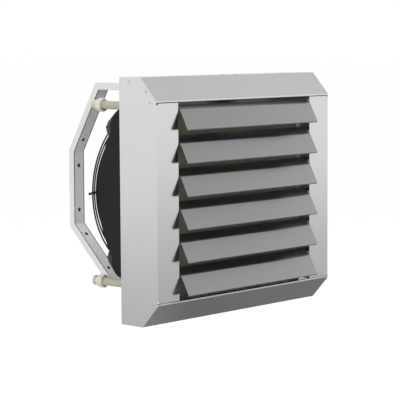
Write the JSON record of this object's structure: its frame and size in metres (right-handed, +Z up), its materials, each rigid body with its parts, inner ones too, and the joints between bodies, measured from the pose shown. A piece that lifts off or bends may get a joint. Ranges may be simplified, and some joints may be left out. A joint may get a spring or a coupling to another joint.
{
  "type": "fan heater",
  "caption": "Water coil fan heater with a folded sheet casing, adjustable louvres, a guarded axial fan and a swivelling cranked mounting console.",
  "frame": {"origin": "middle of the wall face of the console's upright stretch, between its two bolt holes", "axes": "+X to the right seen from the front, +Y from the heater into the wall, +Z up; the air leaves towards -Y"},
  "size_m": [0.7024, 0.7064, 0.6464],
  "materials": {
    "casing": "smooth zinc-coated sheet, low gloss",
    "louvre": "smooth metallic grey",
    "console_paint": "matte light grey powder coat",
    "inner_sheet": "plain zinc-coated sheet",
    "rivet": "plain domed rivets",
    "zinc": "zinc plated",
    "black_zinc": "black plated",
    "fins": "dark fins of thin sheet",
    "copper": "plain copper tube",
    "pipe": "beige paint, satin",
    "black_plastic": "matte black moulding",
    "guard_wire": "satin black powder coat",
    "motor_black": "black cathodic coat",
    "fan_blade": "black moulded plastic",
    "bearing_steel": "ground steel",
    "nylon": "natural nylon"
  },
  "bodies": {
    "console": {"console_upper_arm": "console_paint", "console_upper_stretch": "console_paint", "console_middle_stretch": "console_paint", "console_lower_stretch": "console_paint", "console_lower_arm": "console_paint", "console_end_caps": "black_plastic", "console_bushes": "nylon"},
    "heater": {"pivot_bolts": "zinc", "pivot_nuts": "zinc", "upper_pivot_bracket": "zinc", "lower_pivot_bracket": "zinc", "bracket_rivets": "zinc", "left_side_panel": "casing", "right_side_panel": "casing", "top_panel": "casing", "bottom_panel": "casing", "back_panel": "inner_sheet", "panel_rivets": "rivet", "back_panel_screws": "zinc", "coil_fins": "fins", "coil_left_plate": "inner_sheet", "coil_right_plate": "inner_sheet", "coil_top_channel": "inner_sheet", "coil_bottom_channel": "inner_sheet", "heating_tubes": "copper", "front_header": "copper", "rear_header": "copper", "header_caps": "copper", "upper_pipe": "pipe", "lower_pipe": "pipe", "upper_connector": "pipe", "lower_connector": "pipe", "fan_housing": "black_plastic", "housing_screws": "black_zinc", "guard_outer_ring": "guard_wire", "guard_rings": "guard_wire", "guard_ribs": "guard_wire", "guard_clips": "black_plastic", "guard_screws": "black_plastic", "motor_plate": "guard_wire", "motor_stator": "motor_black", "motor_screws": "zinc", "front_bearing": "bearing_steel", "rear_bearing": "bearing_steel", "terminal_box": "black_plastic", "terminal_cover": "black_plastic", "cover_screws": "zinc", "cable_gland": "black_plastic", "louver_pins": "zinc", "louver_washers": "nylon"},
    "rotor": {"motor_rotor": "motor_black", "motor_shaft": "bearing_steel", "impeller_hub": "motor_black", "impeller_blades": "fan_blade"},
    "louver_1": {"louver_1": "louvre"},
    "louver_2": {"louver_2": "louvre"},
    "louver_3": {"louver_3": "louvre"},
    "louver_4": {"louver_4": "louvre"},
    "louver_5": {"louver_5": "louvre"},
    "louver_6": {"louver_6": "louvre"}
  },
  "joints": [
    {"name": "heater_swivel", "type": "hinge", "parent": "console", "child": "heater", "pos_m": [0, -0.572, 0], "axis": [0, 0, 1], "range_deg": [-80, 80]},
    {"name": "impeller_spin", "type": "hinge", "parent": "heater", "child": "rotor", "pos_m": [0, -0.347, 0.01692], "axis": [0, 1, 0], "continuous": true},
    {"name": "louver_1_tilt", "type": "hinge", "parent": "heater", "child": "louver_1", "pos_m": [0, -0.666, 0.25992], "axis": [1, 0, 0], "range_deg": [-70, 26]},
    {"name": "louver_2_tilt", "type": "hinge", "parent": "heater", "child": "louver_2", "pos_m": [0, -0.666, 0.17412], "axis": [1, 0, 0], "range_deg": [-70, 26]},
    {"name": "louver_3_tilt", "type": "hinge", "parent": "heater", "child": "louver_3", "pos_m": [0, -0.666, 0.08832], "axis": [1, 0, 0], "range_deg": [-70, 26]},
    {"name": "louver_4_tilt", "type": "hinge", "parent": "heater", "child": "louver_4", "pos_m": [0, -0.666, 0.00252], "axis": [1, 0, 0], "range_deg": [-70, 26]},
    {"name": "louver_5_tilt", "type": "hinge", "parent": "heater", "child": "louver_5", "pos_m": [0, -0.666, -0.08328], "axis": [1, 0, 0], "range_deg": [-70, 26]},
    {"name": "louver_6_tilt", "type": "hinge", "parent": "heater", "child": "louver_6", "pos_m": [0, -0.666, -0.16908], "axis": [1, 0, 0], "range_deg": [-70, 26]}
  ]
}
